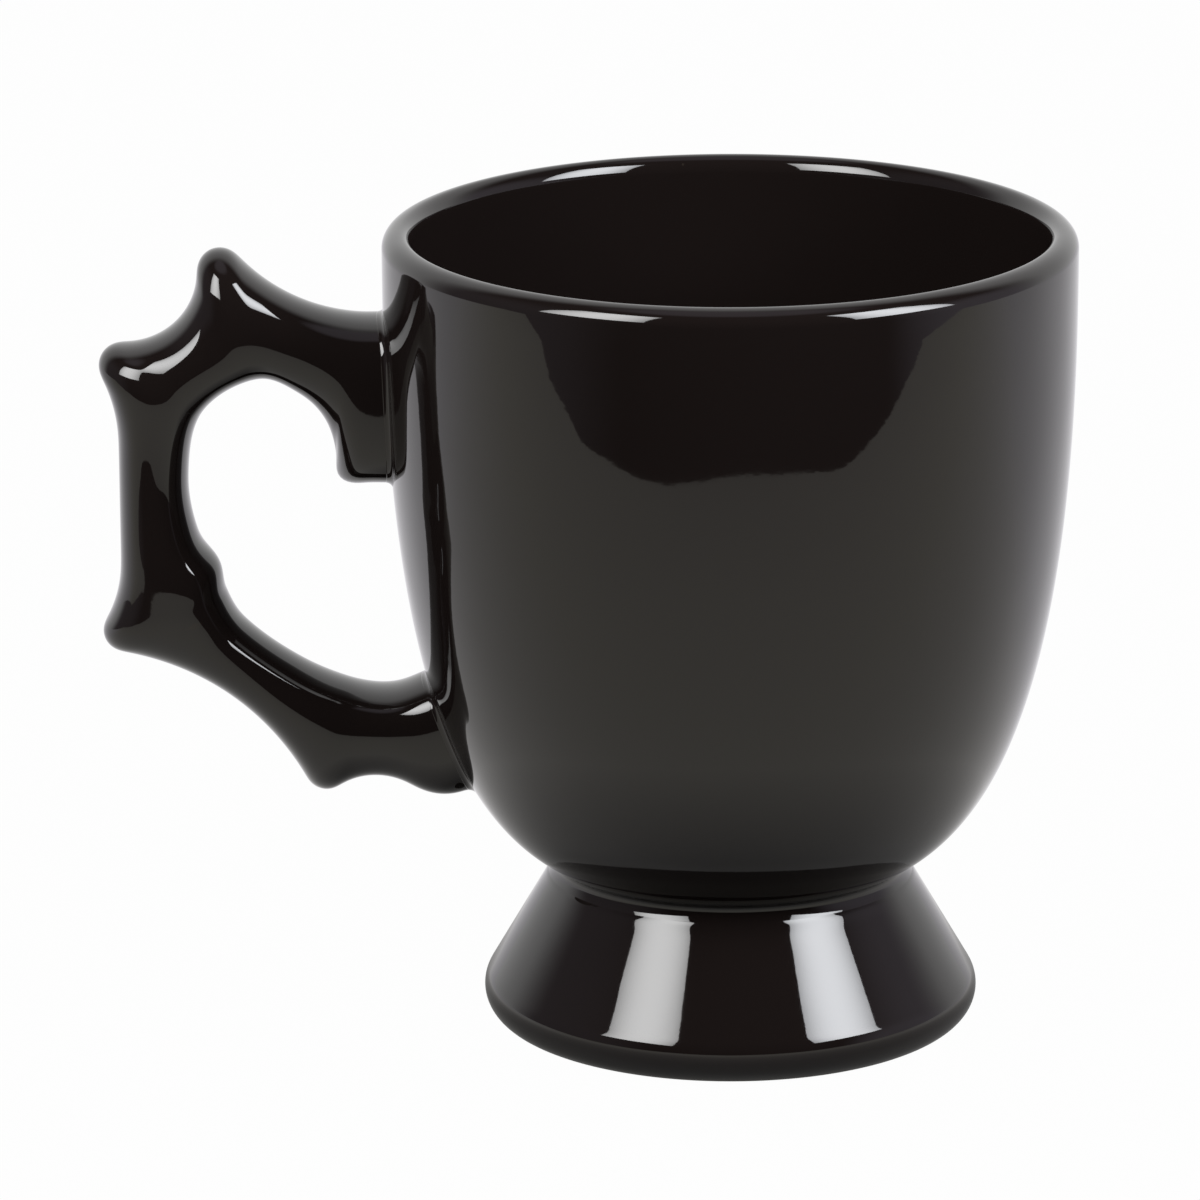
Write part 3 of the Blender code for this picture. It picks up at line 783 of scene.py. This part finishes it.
def root_bead(name, sides, row, sizes, material):
    """The fillet of slip and glaze round one root of the handle."""
    step = 1 if row == 0 else -1
    columns = sides[0].shape[1]
    order = [(0, c) for c in range(columns)] + [(1, c) for c in range(columns - 2, 0, -1)]
    rails = [sides[side][::step, column] for side, column in order]
    foot = np.array([rail[0] for rail in rails])
    ahead, behind = np.roll(foot, -1, axis=0), np.roll(foot, 1, axis=0)
    run = (ahead - behind)[:, 1:]
    outward = np.stack([run[:, 1], -run[:, 0]], axis=1)
    outward /= np.linalg.norm(outward, axis=1)[:, None]
    middle = foot[:, 1:].mean(axis=0)
    outward *= np.sign(((foot[:, 1:] - middle) * outward).sum())
    skirt = foot[:, 1:] + sizes.bead * outward
    on_bowl = on_wall(skirt[:, 0], skirt[:, 1], sizes, -EMBED / 4)
    core = on_wall(*(foot[:, 1:] - EMBED * outward).T, sizes, -EMBED)
    loops = []
    for rail, foot_point, wall_point, inside in zip(rails, foot, on_bowl, core):
        length = np.concatenate([[0.0], np.cumsum(np.linalg.norm(np.diff(rail, axis=0), axis=1))])
        on_handle = np.array([np.interp(sizes.bead, length, rail[:, axis]) for axis in range(3)])
        section = curve_between(wall_point, foot_point, on_handle)
        loops.append(np.array(section + [inside, section[0]]))
    return sheet_piece(name, [np.array(loops + loops[:1])], material)


class MUG_OT_bowl(bpy.types.Operator):
    """Turns the bowl with its rounded lip"""

    bl_idname = "mug.bowl"
    bl_label = "Turn Bowl"

    def execute(self, context):
        sizes, finish = context.scene.mug_sizes, context.scene.mug_finish
        piece = turned_piece("glazed_bowl", bowl_profile(sizes), sizes, black_glaze("black_gloss_glaze_bowl", finish))
        carry(piece, "bowl")
        return {"FINISHED"}


class MUG_OT_foot(bpy.types.Operator):
    """Turns the flared foot, bare on its resting ring"""

    bl_idname = "mug.foot"
    bl_label = "Turn Foot"

    def execute(self, context):
        sizes, finish = context.scene.mug_sizes, context.scene.mug_finish
        material = black_glaze("black_gloss_glaze_foot", finish, ring_height=RING_HEIGHT)
        carry(turned_piece("glazed_foot", foot_profile(sizes), sizes, material), "pedestal_foot")
        return {"FINISHED"}


class MUG_OT_handle(bpy.types.Operator):
    """Swells the spiked handle up from its outline"""

    bl_idname = "mug.handle"
    bl_label = "Cast Handle"

    def execute(self, context):
        sizes, finish = context.scene.mug_sizes, context.scene.mug_finish
        sides = handle_sides(sizes)
        ends = []
        for row in (0, -1):
            edge = np.stack([side[row] for side in sides])
            ends.append(np.concatenate([edge[:1], on_wall(edge[..., 1], edge[..., 2], sizes, -ROOT_EMBED), edge[1:]]))
        piece = sheet_piece("spiked_handle", sides + ends, black_glaze("black_gloss_glaze_handle", finish))
        carry(piece, "handle")
        return {"FINISHED"}


class MUG_OT_slip_joints(bpy.types.Operator):
    """Fills the creases at the waist and at the handle's roots"""

    bl_idname = "mug.slip_joints"
    bl_label = "Fill Slip Joints"

    def execute(self, context):
        sizes, finish = context.scene.mug_sizes, context.scene.mug_finish
        material = black_glaze("pooled_glaze_over_slip", finish)
        carry(turned_piece("waist_bead", waist_profile(sizes), sizes, material), "foot_slip_joint")
        sides = handle_sides(sizes)
        for place, row in (("upper", 0), ("lower", -1)):
            piece = root_bead(place + "_root_bead", sides, row, sizes, material)
            carry(piece, place + "_handle_slip_joint")
        return {"FINISHED"}


def sheet_edge(studio):
    """Points along the sheet's front edge, which bows out towards the camera and waves a little."""
    x = np.linspace(-SHEET_SIDE, SHEET_SIDE, EDGE_POINTS)
    bow = BOW_DEPTH * (1 - np.exp(-((x / BOW_WIDTH) ** 2)))
    wave = WAVE_DEPTH * np.sin(x / WAVE_LENGTH) * np.exp(-(((x - WAVE_PLACE) / WAVE_SPREAD) ** 2))
    sweep = SWEEP_DEPTH * np.maximum(x / SWEEP_REACH, SWEEP_LEFT) ** 4
    y = bow - studio.sheet_front + wave - EDGE_SLANT * x + sweep
    return list(zip(x + AXIS_X, y, np.full(EDGE_POINTS, -SHEET_DROP)))


def lay_sheet(studio):
    """White paper under and behind the mug, which ends in front of it."""
    edge = sheet_edge(studio)
    corners = edge + [(SHEET_SIDE, SHEET_BACK, -SHEET_DROP), (-SHEET_SIDE, SHEET_BACK, -SHEET_DROP)]
    mesh = bpy.data.meshes.new("paper_sheet")
    mesh.from_pydata(corners, [], [range(len(corners))])
    material, tree = shader_tree("matt_white_paper")
    place = add_node(tree, "ShaderNodeTexCoord").outputs["Object"]
    # Paper tooth, only just there
    tooth = add_node(tree, "ShaderNodeTexNoise", {"Vector": place, "Scale": 1 / PAPER_TOOTH})
    shade = add_node(
        tree, "ShaderNodeMapRange", {"Value": tooth.outputs[0], "To Min": PAPER_GREY[0], "To Max": PAPER_GREY[1]}
    )
    lit = add_node(tree, "ShaderNodeBsdfDiffuse", {"Color": shade.outputs[0]})
    ray = add_node(tree, "ShaderNodeLightPath").outputs
    # Painted light and shade: the glaze sees the paper's glow painted to fall off towards its front edge, and painted
    # darker close to the mug as its shadow
    depth = add_node(tree, "ShaderNodeSeparateXYZ", {0: place}).outputs["Y"]
    painted_falloff = add_node(
        tree, "ShaderNodeMapRange",
        {"Value": depth, "From Min": -studio.sheet_front, "From Max": FULL_DEPTH, "To Min": PAINTED_FALLOFF_SHARE, "To Max": 1.0}
    )
    # Painted shadow: the glow is dimmed close to the mug's axis, where its shade would fall
    reach = add_node(tree, "ShaderNodeVectorMath", {0: place, 1: (AXIS_X, 0.0, 0.0)}, operation="DISTANCE")
    near = add_node(
        tree, "ShaderNodeMapRange",
        {"Value": reach.outputs["Value"], "From Min": PAINTED_SHADOW_FROM, "From Max": PAINTED_SHADOW_TO, "To Min": PAINTED_SHADOW_SHARE,
         "To Max": 1.0}
    )
    bright = add_node(tree, "ShaderNodeMath", {0: painted_falloff.outputs[0], 1: near.outputs[0]}, operation="MULTIPLY")
    # Only glossy rays get this painted falloff and painted shadow
    glossy = add_node(tree, "ShaderNodeMath", {0: ray["Is Glossy Ray"], 1: bright.outputs[0]}, operation="MULTIPLY")
    plain = add_node(
        tree, "ShaderNodeMath", {0: ray["Is Camera Ray"], 1: ray["Is Transmission Ray"]}, operation="MAXIMUM"
    )
    seen = add_node(tree, "ShaderNodeMath", {0: plain.outputs[0], 1: PAPER_WHITE}, operation="MULTIPLY")
    # Painted reflection tint: in the glaze the paper's glow is warmer in front of the mug and cooler behind it, while
    # the camera sees it plain white
    far = add_node(tree, "ShaderNodeMapRange", {"Value": depth, "From Min": -CAST_DEPTH, "From Max": CAST_DEPTH})
    cast = add_node(
        tree, "ShaderNodeMix", {0: far.outputs[0], 6: opaque(WARM_PAINTED_REFLECTION), 7: opaque(COOL_PAINTED_REFLECTION)}, data_type="RGBA"
    )
    tint = add_node(
        tree, "ShaderNodeMix", {0: plain.outputs[0], 6: cast.outputs[2], 7: opaque("#ffffff")}, data_type="RGBA"
    )
    white = add_node(tree, "ShaderNodeEmission", {"Color": tint.outputs[2], "Strength": 1.0})
    share = add_node(tree, "ShaderNodeMath", {0: seen.outputs[0], 1: glossy.outputs[0]}, operation="MAXIMUM")
    mixed = add_node(tree, "ShaderNodeMixShader", {0: share.outputs[0], 1: lit.outputs[0], 2: white.outputs[0]})
    add_node(tree, "ShaderNodeOutputMaterial", {"Surface": mixed.outputs[0]})
    mesh.materials.append(material)
    sheet = bpy.data.objects.new("paper_sheet", mesh)
    bpy.context.scene.collection.objects.link(sheet)


def hang_softboxes(studio):
    """Two large lamps, in front to the left and to the right, above the mug."""
    aim = Vector((AXIS_X, 0.0, studio.aim[2]))
    for (side, turn, colour), power in zip(SOFTBOXES, (studio.left_power, studio.right_power)):
        azimuth = math.radians(turn)
        way = Vector((math.sin(azimuth), -math.cos(azimuth), 0.0))
        lamp = bpy.data.lights.new(side + "_softbox", "AREA")
        lamp.shape = "RECTANGLE"
        lamp.size = SOFTBOX_WIDTH
        lamp.size_y = SOFTBOX_HEIGHT
        lamp.energy = power
        lamp.color = linear(colour)
        fade_cloth(lamp)
        softbox = bpy.data.objects.new(lamp.name, lamp)
        softbox.location = aim + way * SOFTBOX_AWAY + Vector((0.0, 0.0, SOFTBOX_RISE))
        softbox.rotation_euler = (-way).to_track_quat("-Z", "Y").to_euler()
        softbox.visible_camera = False
        bpy.context.scene.collection.objects.link(softbox)


def fade_cloth(lamp):
    """Lets a softbox's front cloth glow most in the middle and about half as much towards its sides."""
    lamp.use_nodes = True
    tree = lamp.node_tree
    tree.nodes.clear()
    spot = add_node(tree, "ShaderNodeNewGeometry")
    middle = add_node(
        tree, "ShaderNodeVectorMath", {0: spot.outputs["Parametric"], 1: (0.5, 0.5, 0.0)}, operation="SUBTRACT"
    )
    across = add_node(tree, "ShaderNodeVectorMath", {0: middle.outputs[0], 1: CLOTH_STRETCH}, operation="MULTIPLY")
    reach = add_node(tree, "ShaderNodeVectorMath", {0: across.outputs[0]}, operation="LENGTH")
    bend = add_node(tree, "ShaderNodeMath", {0: reach.outputs["Value"], 1: CLOTH_BEND}, operation="POWER")
    glow = add_node(tree, "ShaderNodeMath", {0: bend.outputs[0], 1: -CLOTH_LOSS, 2: 1.0}, operation="MULTIPLY_ADD")
    light = add_node(tree, "ShaderNodeEmission", {"Strength": glow.outputs[0]})
    add_node(tree, "ShaderNodeOutputLight", {"Surface": light.outputs[0]})


def surround(scene):
    """A room that is white behind the mug, grey overhead and at both sides, and dark in front."""
    world = bpy.data.worlds.new("studio")
    world.use_nodes = True
    tree = world.node_tree
    tree.nodes.clear()
    way = add_node(tree, "ShaderNodeTexCoord").outputs["Generated"]
    part = add_node(tree, "ShaderNodeSeparateXYZ", {0: way}).outputs
    room = opaque(ROOM_FRONT)
    for axis, start, full, colour in ROOM_WALLS:
        share = add_node(
            tree, "ShaderNodeMapRange", {"Value": part[axis], "From Min": start, "From Max": full},
            interpolation_type="SMOOTHSTEP"
        )
        wall = add_node(tree, "ShaderNodeMix", {0: share.outputs[0], 6: room, 7: opaque(colour)}, data_type="RGBA")
        room = wall.outputs[2]
    # The camera finds the sheet's white all round, and the glaze mirrors the room as it is
    ray = add_node(tree, "ShaderNodeLightPath").outputs
    plain = add_node(
        tree, "ShaderNodeMath", {0: ray["Is Camera Ray"], 1: ray["Is Transmission Ray"]}, operation="MAXIMUM"
    )
    shown = add_node(tree, "ShaderNodeMix", {0: plain.outputs[0], 6: room, 7: opaque(BACKGROUND)}, data_type="RGBA")
    light = add_node(tree, "ShaderNodeBackground", {"Color": shown.outputs[2], "Strength": 1.0})
    add_node(tree, "ShaderNodeOutputWorld", {"Surface": light.outputs[0]})
    scene.world = world


def place_camera(scene, studio):
    """A camera far off with a long lens, a little above the rim."""
    lens = bpy.data.cameras.new("camera")
    lens.sensor_width = 36.0
    lens.lens = studio.lens
    lens.clip_end = 10.0
    camera = bpy.data.objects.new("camera", lens)
    tilt = Matrix.Rotation(math.pi / 2 - studio.elevation, 4, "X") @ Matrix.Rotation(studio.roll, 4, "Z")
    ahead = Vector((0.0, math.cos(studio.elevation), -math.sin(studio.elevation)))
    camera.matrix_world = Matrix.Translation(Vector(studio.aim) - ahead * studio.distance) @ tilt
    scene.collection.objects.link(camera)
    scene.camera = camera


class MUG_OT_stage(bpy.types.Operator):
    """Sets up the white sheet, the softboxes, the room and the camera"""

    bl_idname = "mug.stage"
    bl_label = "Set Up Studio"

    def execute(self, context):
        studio = context.scene.mug_studio
        lay_sheet(studio)
        hang_softboxes(studio)
        surround(context.scene)
        place_camera(context.scene, studio)
        context.scene.view_settings.view_transform = "Standard"
        return {"FINISHED"}


class MUG_PT_sidebar(bpy.types.Panel):
    """Sizes, finish and studio of the mug, and the steps that build it"""

    bl_label = "Spiked Goblet Mug"
    bl_space_type = "VIEW_3D"
    bl_region_type = "UI"
    bl_category = "Mug"

    def draw(self, context):
        for group in (context.scene.mug_sizes, context.scene.mug_finish, context.scene.mug_studio):
            box = self.layout.box()
            for name in group.bl_rna.properties.keys():
                if name not in {"rna_type", "name"}:
                    box.prop(group, name)
        for step in STEPS:
            self.layout.operator(step.bl_idname)


STEPS = (MUG_OT_bowl, MUG_OT_foot, MUG_OT_handle, MUG_OT_slip_joints, MUG_OT_stage)
GROUPS = {"mug_sizes": MugSizes, "mug_finish": MugFinish, "mug_studio": MugStudio}


def register():
    """Makes the property groups, the steps and the sidebar known."""
    for part in (*GROUPS.values(), *STEPS, MUG_PT_sidebar):
        bpy.utils.register_class(part)
    for name, group in GROUPS.items():
        setattr(bpy.types.Scene, name, PointerProperty(type=group))


def unregister():
    """Takes them all out again."""
    for name in GROUPS:
        delattr(bpy.types.Scene, name)
    for part in (MUG_PT_sidebar, *reversed(STEPS), *reversed(GROUPS.values())):
        bpy.utils.unregister_class(part)


def main():
    """Builds the mug and its studio."""
    register()
    bpy.ops.mug.bowl()
    bpy.ops.mug.foot()
    bpy.ops.mug.handle()
    bpy.ops.mug.slip_joints()
    bpy.ops.mug.stage()


if __name__ == "__main__":
    main()
